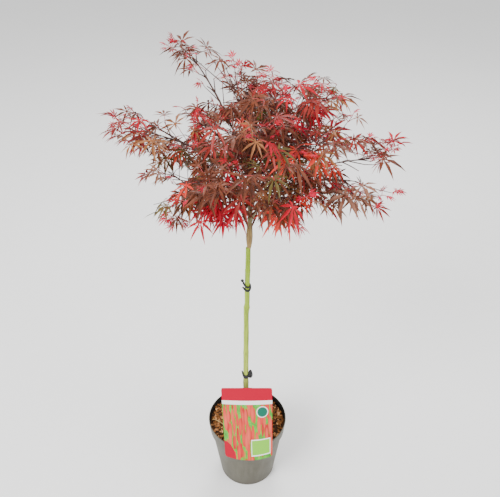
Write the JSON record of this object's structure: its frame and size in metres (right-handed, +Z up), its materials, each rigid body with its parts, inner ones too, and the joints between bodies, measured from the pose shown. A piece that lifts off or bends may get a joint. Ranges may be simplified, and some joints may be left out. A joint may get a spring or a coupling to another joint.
{
  "type": "potted japanese maple",
  "caption": "Small grafted Japanese maple on a tall clear stem in a round tapered nursery pot, with an open crown of red palmate leaves.",
  "frame": {"origin": "middle of the pot's flat underside", "axes": "+Z up along the pot's axis and the stem, -Y towards the side that the plant label faces, +X to the right as seen from that side"},
  "size_m": [0.5549, 0.5012, 1.1181],
  "materials": {
    "pot_plastic": "moulded matt taupe plastic",
    "bark_compost": "loose bark and fibre compost",
    "stem_bark": "smooth green young bark",
    "twig_bark": "smooth brown purple young bark",
    "tie_rubber": "soft dark rubber",
    "label_card": "printed plastic card",
    "leaf_maroon": "thin matt leaves",
    "leaf_crimson": "thin matt leaves",
    "leaf_brown": "thin matt leaves",
    "leaf_coral": "thin matt leaves"
  },
  "bodies": {
    "root": {"pot": "pot_plastic", "compost": "bark_compost", "stem": "stem_bark", "upper_tie": "tie_rubber", "lower_tie": "tie_rubber", "plant_label": "label_card", "bough_upper_left": "twig_bark", "leaves_upper_left": "leaf_maroon", "bough_top": "twig_bark", "leaves_top": "leaf_crimson", "bough_crest": "twig_bark", "leaves_crest": "leaf_brown", "bough_top_right": "twig_bark", "leaves_top_right": "leaf_coral", "bough_mid_right": "twig_bark", "leaves_mid_right": "leaf_maroon", "bough_mid_left": "twig_bark", "leaves_mid_left": "leaf_crimson", "bough_front_top": "twig_bark", "leaves_front_top": "leaf_brown", "bough_left": "twig_bark", "leaves_left": "leaf_coral", "bough_right": "twig_bark", "leaves_right": "leaf_maroon", "bough_front": "twig_bark", "leaves_front": "leaf_crimson", "bough_lower_left": "twig_bark", "leaves_lower_left": "leaf_brown", "bough_front_left": "twig_bark", "leaves_front_left": "leaf_coral", "bough_lower_right": "twig_bark", "leaves_lower_right": "leaf_maroon", "bough_front_right": "twig_bark", "leaves_front_right": "leaf_crimson", "bough_back_left": "twig_bark", "leaves_back_left": "leaf_brown", "bough_back": "twig_bark", "leaves_back": "leaf_coral", "bough_back_right": "twig_bark", "leaves_back_right": "leaf_maroon"}
  },
  "joints": []
}
